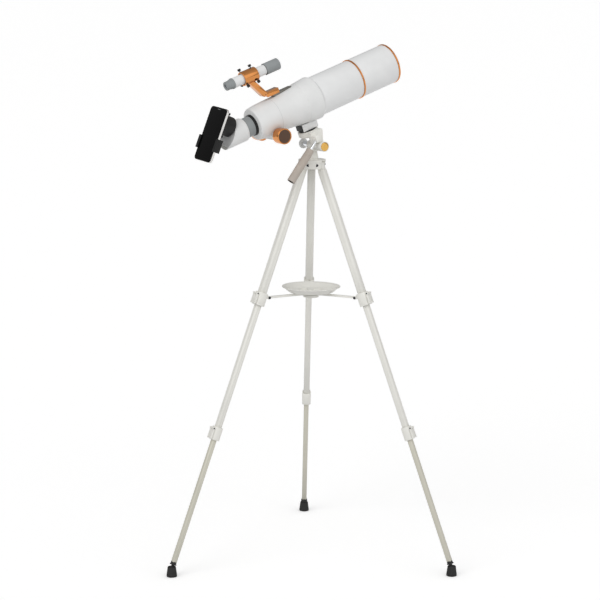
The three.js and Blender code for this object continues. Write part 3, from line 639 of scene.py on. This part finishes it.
def optical_tube():
    dress(returned("main_tube", OPTICS, 0.4 * MM, 144), TUBE_PAINT, "main_tube")
    dress(returned("joint_ring", OPTICS, 0.6 * MM, 144), COPPER, "joint_ring")
    dress(returned("front_ring", OPTICS, 0.9 * MM, 144), COPPER, "front_ring")
    shield = dress(returned("dew_shield", OPTICS, 0.3 * MM, 144), TUBE_PAINT, "dew_shield")
    paint_faces(shield, LINING, OPTICS, lambda centre, normal: normal.x * centre.x + normal.y * centre.y < 0)
    low, high = extents("objective_lens", OPTICS)
    radius = high.x
    thickness = 7 * MM
    bulge = (high.z - low.z - thickness) / 2
    steps = 14
    back = [(radius * i / steps, low.z + bulge * (i / steps) ** 2) for i in range(steps + 1)]
    front = [(r, low.z + high.z - z) for r, z in reversed(back)]
    dress(turned("objective_lens_fine", OPTICS, back + front, False, 144), LENS, "objective_lens")
    inner, start, end = radius - 4 * MM, high.z - bulge + 0.2 * MM, high.z + 3.4 * MM
    cell = [(inner, start), (radius, start), (radius, end), (radius - 2 * MM, end), (inner, high.z + 1 * MM)]
    dress(turned("lens_cell", OPTICS, soften(cell, True, 0.4 * MM), True, 144), LINING, body="tilt")


def focuser():
    dress(returned("draw_tube", OPTICS, 0.3 * MM, 96, angle=0.001), BLACK, "draw_tube")
    low, _ = extents("draw_tube", OPTICS)
    pitch, half = 2.8 * MM, 4 * MM
    start = (OPTICS.inverted() @ joint_point("focus_knob")).z - 2 * MM
    rack = slab("rack", OPTICS, (low.x + 1.2 * MM, -half, start), (-23.4 * MM, half, -48 * MM), 0.3 * MM)
    dress(rack, BLACK, body="focuser")
    for i in range(20):
        z = start + 1 * MM + i * pitch
        tooth = slab(f"rack_tooth_{i}", OPTICS, (low.x, -half, z),
                     (low.x + 1.6 * MM, half, z + pitch / 2), 0.3 * MM)
        dress(tooth, BLACK, body="focuser")
    low, high = extents("draw_ring", OPTICS)
    grooves = knurl(60, 0.2 * MM, low.z + 2 * MM, high.z - 1 * MM, 24 * MM)
    dress(returned("draw_ring", OPTICS, 0.5 * MM, 240, grooves), GREY, "draw_ring")
    teeth = knurl(20, 0.35 * MM, -6.9 * MM, 6.9 * MM, 8.2 * MM)
    dress(returned("focus_shaft", FOCUS, 0.3 * MM, 160, teeth), CHROME, "focus_shaft")
    for side, way in (("left", 1), ("right", -1)):
        node = f"focus_knob_{side}"
        low, high = extents(node, FOCUS)
        end = high.z if way > 0 else low.z
        inner = sorted((end - way * 4 * MM, end - way * 19 * MM))
        teeth = knurl(72, 0.12 * MM, *inner, 19 * MM)
        knob = dress(returned(node, FOCUS, 0.8 * MM, 288, teeth), COPPER, node)
        paint_faces(knob, KNOB_END, FOCUS,
                    lambda centre, normal, end=end, way=way: way * (end - centre.z) < 1.3 * MM
                    and way * normal.z > 0.9 and centre.xy.length < 17.4 * MM)


def diagonal():
    low, high = extents("diagonal_housing", OPTICS)
    rear, front, wall, radius, exit_face = low.z, high.z, 3 * MM, 30 * MM, 31 * MM
    outer = [(0, rear), (radius - 1.5 * MM, rear), (radius, rear + 1.5 * MM), (radius, front - 5 * MM),
             (radius - 2 * MM, front - 1 * MM), (radius - 4 * MM, front)]
    inner = [(21 * MM, front), (21 * MM, front - wall), (radius - wall, front - wall),
             (radius - wall, rear + wall), (0, rear + wall)]
    body = turned("diagonal_housing_fine", OPTICS, soften(outer + inner, False, 0.7 * MM), False, 120)
    reach = 90 * MM
    above = (reach, reach, reach)
    lid = turned("diagonal_lid", OPTICS, soften(outer + [(0, front)], False, 0.7 * MM), False, 120)
    carve(body, slab("cut_above", EYE, (-reach, -reach, exit_face - wall), above, 0.01 * MM, 1))
    carve(lid, slab("lid_top", EYE, (-reach, -reach, exit_face), above, 0.01 * MM, 1))
    under = (reach, reach, exit_face - wall + 0.15 * MM)
    carve(lid, slab("lid_bottom", EYE, (-reach, -reach, -reach), under, 0.01 * MM, 1))
    carve(lid, drum("lid_bore", EYE, 16.2 * MM, 10 * MM, 50 * MM, 0.1 * MM, 72))
    dress(body, SHELL_PLASTIC, "diagonal_housing")
    dress(lid, SHELL_PLASTIC, body="diagonal")
    # The rear end disc, which faces down and back, is given the warm grey as painted shade.
    for part in (body, lid):
        paint_faces(part, REAR_DISC_PAINTED_SHADE, OPTICS,
                    lambda centre, normal: centre.z < rear + 0.6 * MM and normal.z < -0.9)
    NODES["diagonal_prism"].data.materials.clear()
    NODES["diagonal_prism"].data.materials.append(LENS)
    dress(returned("eyepiece", EYE, 0.4 * MM, 96), BLACK, "eyepiece")


def phone_holder():
    dress(refined("adapter_frame", 0.6 * MM), BLACK, "adapter_frame")
    dress(refined("adapter_jaw", 0.6 * MM), BLACK, "adapter_jaw")
    ribs = knurl(36, 0.25 * MM, 37 * MM, 69 * MM, 24 * MM)
    sleeve = hoop("adapter_cup", EYE, 17.8 * MM, 25.2 * MM, 33.8 * MM, 72.2 * MM, 0.9 * MM, 192, ribs)
    dress(sleeve, BLACK, body="adapter")
    for i, turn in enumerate((0, math.pi)):
        direction = EYE.to_3x3() @ Vector((math.cos(turn), math.sin(turn), 0))
        place = frame_at(EYE @ Vector((0, 0, 50 * MM)), direction, EYE_AXIS)
        screw = drum(f"adapter_screw_{i}", place, 4.6 * MM, 26.4 * MM, 32 * MM, 0.7 * MM, 96,
                     knurl(16, 0.3 * MM, 27 * MM, 31.4 * MM, 4 * MM))
        dress(screw, BLACK, body="adapter")
        stem = drum(f"adapter_stem_{i}", place, 1.8 * MM, 24 * MM, 27 * MM, 0.2 * MM, 24)
        dress(stem, BOLT, body="adapter")
    phone()


def phone():
    low, high = extents("phone", EYE)
    handset = dress(refined("phone", 1.5 * MM, 4), PHONE_EDGE, "phone")
    paint_faces(handset, SCREEN, EYE, lambda centre, normal: abs(normal.z) > 0.75)
    slot = slab("phone_speaker", EYE, (high.x - 5.6 * MM, -5 * MM, high.z - 0.3 * MM),
                (high.x - 4.6 * MM, 5 * MM, high.z + 0.05 * MM), 0.1 * MM)
    dress(slot, GREY, body="adapter")
    middle = (low.z + high.z) / 2
    for i, (x, length) in enumerate(((26, 11), (40, 8), (50, 8))):
        edge = high.y - 0.2 * MM
        button = slab(f"phone_button_{i}", EYE, (high.x - (x + length) * MM, edge, middle - 1.2 * MM),
                      (high.x - x * MM, edge + 0.7 * MM, middle + 1.2 * MM), 0.3 * MM)
        dress(button, PHONE_EDGE, body="adapter")


# ---------- finder ----------
def finder():
    dress(refined("finder_rail", 0.5 * MM), STEEL, "finder_rail")
    dress(refined("finder_bracket", 0.5 * MM), COPPER, "finder_bracket")
    bracket_low, _ = extents("finder_bracket", FINDER)
    rear, front = bracket_low.z, bracket_low.z + 41 * MM
    sleeve = hoop("finder_sleeve", FINDER, 15.5 * MM, 18.2 * MM, rear - 0.1 * MM, front + 0.1 * MM,
                  0.8 * MM, 120)
    dress(sleeve, COPPER, body="finder")
    for end, z in (("rear", rear + 3.6 * MM), ("front", front - 6 * MM)):
        for i, degrees in enumerate((-18, 138, 222)):
            thumbscrew(f"{end}_{i}", z, math.radians(degrees))
    dress(returned("finder_tube", FINDER, 0.3 * MM), TUBE_PAINT, "finder_tube")
    hood = dress(returned("finder_hood", FINDER, 0.6 * MM), GREY, "finder_hood")
    paint_faces(hood, LINING, FINDER, lambda centre, normal: normal.x * centre.x + normal.y * centre.y < 0)
    low, high = extents("finder_eyepiece", FINDER)
    grooves = knurl(44, 0.22 * MM, high.z - 4.6 * MM, high.z - 0.6 * MM, 13 * MM)
    dress(returned("finder_eyepiece", FINDER, 0.5 * MM, 176, grooves), GREY, "finder_eyepiece")
    tube_end = extents("finder_tube", FINDER)[1].z
    radius = 11.4 * MM
    glass = [(0, tube_end - 4 * MM), (radius, tube_end - 2.6 * MM), (radius, tube_end - 1.2 * MM),
             (0, tube_end)]
    lens = turned("finder_lens", FINDER, soften(glass, False, 0.3 * MM), False, 72)
    dress(lens, LENS, body="finder")
    start, end = low.z + 2.2 * MM, low.z + 3.6 * MM
    eye = drum("finder_rear_glass", FINDER, 4.6 * MM, start, end, 0.2 * MM, 48)
    dress(eye, LENS, body="finder_eye")


def thumbscrew(label, z, turn):
    """One of the screws that hold the finder's tube in its sleeve."""
    direction = FINDER.to_3x3() @ Vector((math.cos(turn), math.sin(turn), 0))
    place = frame_at(FINDER @ Vector((0, 0, z)), direction, FORWARD)
    stem = drum(f"finder_stem_{label}", place, 1.4 * MM, 13.1 * MM, 22 * MM, 0.2 * MM, 24)
    dress(stem, BOLT, body="finder")
    teeth = knurl(12, 0.25 * MM, 21.4 * MM, 26 * MM, 3 * MM)
    screw = drum(f"finder_thumbscrew_{label}", place, 3.9 * MM, 20.8 * MM, 26.6 * MM, 0.6 * MM, 96, teeth)
    dress(screw, BLACK, body="finder")


# ---------- stage ----------
def plain_white(name, color):
    """A white that also gives off a little light of its own."""
    made = bpy.data.materials.new(name)
    made.use_nodes = True
    shader = made.node_tree.nodes["Principled BSDF"]
    shader.inputs["Base Color"].default_value = (*color, 1)
    shader.inputs["Roughness"].default_value = 0.9
    shader.inputs["Emission Color"].default_value = (1, 1, 1, 1)
    shader.inputs["Emission Strength"].default_value = 0.32
    return made


def stage():
    bm = bmesh.new()
    half_size, gap = 400, 0.0005
    bmesh.ops.create_grid(bm, x_segments=4, y_segments=4, size=half_size)
    floor = new_object("studio_floor", bm)
    floor.location.z = CAD_BOX[0][2] - gap
    floor.data.materials.append(plain_white("studio_floor", (0.93, 0.93, 0.93)))
    floor.visible_diffuse = False
    world = bpy.data.worlds.new("studio")
    world.use_nodes = True
    tree = world.node_tree
    place = tree.nodes.new("ShaderNodeTexCoord")
    split = tree.nodes.new("ShaderNodeSeparateXYZ")
    spread = tree.nodes.new("ShaderNodeMapRange")
    spread.inputs["From Min"].default_value = -1
    ramp = tree.nodes.new("ShaderNodeValToRGB")
    stops = ((0.0, 0.72), (0.40, 0.66), (0.50, 0.40), (0.60, 0.62), (0.8, 0.74), (1.0, 0.60))
    ramp.color_ramp.elements.remove(ramp.color_ramp.elements[1])
    for i, (position, grey) in enumerate(stops):
        stop = ramp.color_ramp.elements[0] if i == 0 else ramp.color_ramp.elements.new(position)
        stop.position = position
        stop.color = (grey, grey, grey, 1)
    tree.links.new(place.outputs["Generated"], split.inputs["Vector"])
    tree.links.new(split.outputs["Z"], spread.inputs["Value"])
    tree.links.new(spread.outputs["Result"], ramp.inputs["Fac"])
    tree.links.new(ramp.outputs["Color"], tree.nodes["Background"].inputs["Color"])
    depth = tree.nodes.new("ShaderNodeMapRange")
    depth.inputs["From Min"].default_value = -1
    depth.inputs["To Min"].default_value = 1.15
    depth.inputs["To Max"].default_value = 0.5
    tree.links.new(split.outputs["Y"], depth.inputs["Value"])
    tree.links.new(depth.outputs["Result"], tree.nodes["Background"].inputs["Strength"])
    bpy.context.scene.world = world


def soft_sun(name, azimuth, elevation, spread, strength):
    """A soft light from one side; azimuth 0 shines from the front and 90 from the right."""
    data = bpy.data.lights.new(name, "SUN")
    data.angle = math.radians(spread)
    data.energy = strength
    light = bpy.data.objects.new(name, data)
    bpy.context.scene.collection.objects.link(light)
    turn = math.radians(azimuth)
    rise = math.radians(elevation)
    toward = Vector((math.sin(turn) * math.cos(rise), -math.cos(turn) * math.cos(rise), math.sin(rise)))
    light.rotation_euler = toward.to_track_quat("Z", "Y").to_euler()


def lights():
    soft_sun("key", -70, 36, 40, 0.8)
    soft_sun("fill", 0, 22, 60, 0.35)
    bpy.context.scene.view_settings.view_transform = "Standard"


def camera():
    data = bpy.data.cameras.new("camera")
    data.lens = CAMERA_LENS
    eye = bpy.data.objects.new("camera", data)
    bpy.context.scene.collection.objects.link(eye)
    axis = joint_point("pan")
    eye.location = (axis.x + CAMERA_DISTANCE * math.sin(CAMERA_AZIMUTH),
                    axis.y - CAMERA_DISTANCE * math.cos(CAMERA_AZIMUTH), CAMERA_HEIGHT)
    turn = Matrix.Rotation(CAMERA_AZIMUTH + CAMERA_YAW, 4, "Z")
    turn = turn @ Matrix.Rotation(CAMERA_TILT, 4, "X")
    turn = turn @ Matrix.Rotation(CAMERA_ROLL, 4, "Z")
    eye.rotation_euler = turn.to_euler()
    bpy.context.scene.camera = eye


# ---------- scene ----------
tripod_hub()
for leg in SIDES:
    tripod_leg(leg)
    foot(leg)
spreader()
tray()
head()
rear_shell()
optical_tube()
focuser()
diagonal()
phone_holder()
finder()
stage()
lights()
camera()
